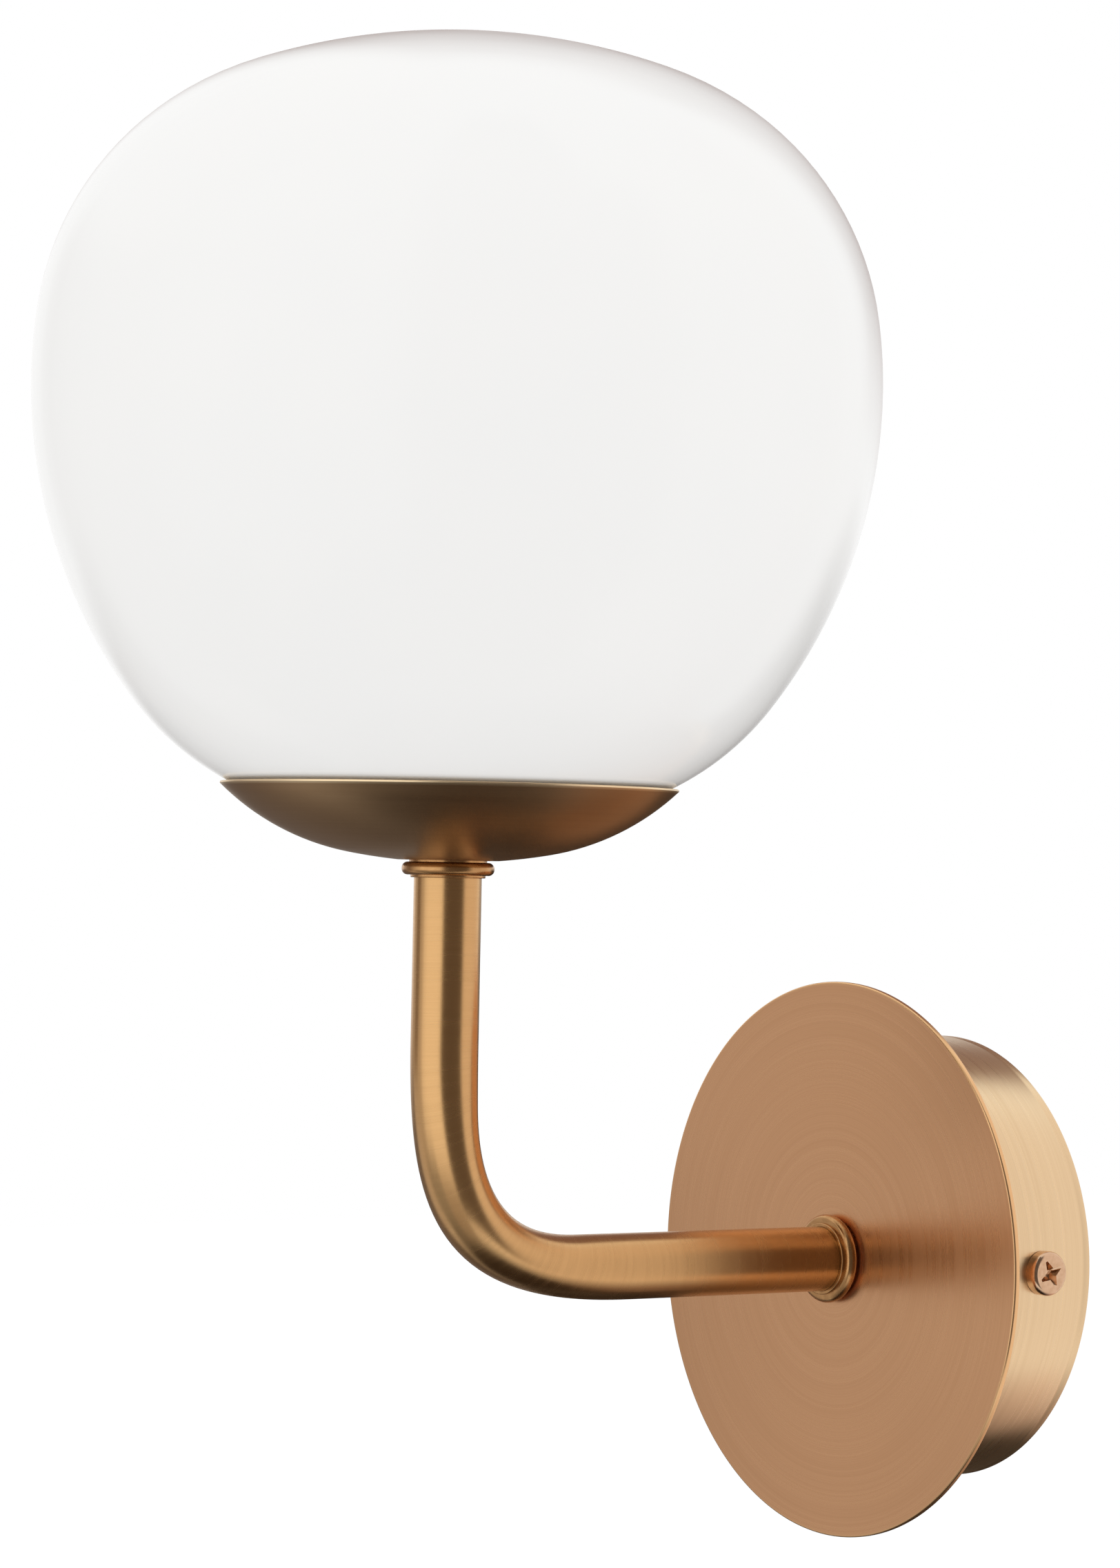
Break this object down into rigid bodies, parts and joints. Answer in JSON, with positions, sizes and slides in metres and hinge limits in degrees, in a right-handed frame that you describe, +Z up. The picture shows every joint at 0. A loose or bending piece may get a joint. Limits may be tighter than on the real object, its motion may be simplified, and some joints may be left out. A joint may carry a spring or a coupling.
{
  "type": "globe wall sconce",
  "caption": "Wall light with an opal glass globe in a shallow metal cup, on a bent tube arm from a round canopy over a slotted wall bracket.",
  "frame": {"origin": "on the wall, midway between the bracket's two wall-screw slots, on the axis of the arm's level run", "axes": "+Y into the wall, +Z up, so that the arm stands out along -Y; +X to the right for someone who faces the wall"},
  "size_m": [0.15, 0.1907, 0.2695],
  "materials": {
    "arm_brass": "satin, turned",
    "plate_brass": "turned rings, lacquered",
    "drum_brass": "brushed around, lacquered",
    "cup_brass": "aged, brushed around",
    "screw_brass": "polished",
    "opal_glass": "glossy opal",
    "zinc_steel": "zinc plated",
    "raw_brass": "turned",
    "white_plastic": "moulded",
    "black_plastic": "moulded",
    "cast_ring": "turned",
    "clear_seal": "soft",
    "nickel_shell": "nickel plated",
    "board_white": "white solder mask",
    "lamp_opal": "opal diffuser",
    "brown_wire": "insulation",
    "blue_wire": "insulation",
    "earth_sleeve": "green and yellow insulation"
  },
  "bodies": {
    "fixture": {"arm_tube": "arm_brass", "wall_collar": "arm_brass", "cup_collar": "arm_brass", "face_plate": "plate_brass", "canopy_drum": "drum_brass", "cup_dish": "cup_brass", "side_screws": "screw_brass", "wall_bracket": "zinc_steel", "wall_washer": "zinc_steel", "wall_nut": "zinc_steel", "cup_washer": "zinc_steel", "cup_nut": "zinc_steel", "earth_screw": "zinc_steel", "block_screw": "zinc_steel", "earth_tag": "zinc_steel", "wall_nipple": "zinc_steel", "cup_nipple": "zinc_steel", "terminal_screws": "zinc_steel", "terminal_clamps": "raw_brass", "holder_terminals": "raw_brass", "holder_rivets": "raw_brass", "holder_contact": "raw_brass", "terminal_block": "white_plastic", "nipple_bush": "white_plastic", "holder_base": "black_plastic", "holder_sleeve": "black_plastic", "globe_boss": "cast_ring", "holder_shell": "nickel_shell", "live_wire": "brown_wire", "neutral_wire": "blue_wire", "earth_wire": "earth_sleeve"},
    "globe": {"glass_globe": "opal_glass", "globe_gallery": "cast_ring", "globe_seal": "clear_seal"},
    "lamp": {"lamp_bulb": "lamp_opal", "lamp_housing": "white_plastic", "led_board": "board_white", "lamp_cap": "nickel_shell", "lamp_insulator": "black_plastic", "lamp_tip": "raw_brass"}
  },
  "joints": [
    {"name": "globe_lift", "type": "slide", "parent": "fixture", "child": "globe", "axis": [0, 0, 1], "range_m": [0, 0.11]},
    {"name": "lamp_turn", "type": "hinge", "parent": "fixture", "child": "lamp", "pos_m": [0, -0.1157, 0.12], "axis": [0, 0, 1], "range_deg": [0, 1080]}
  ]
}
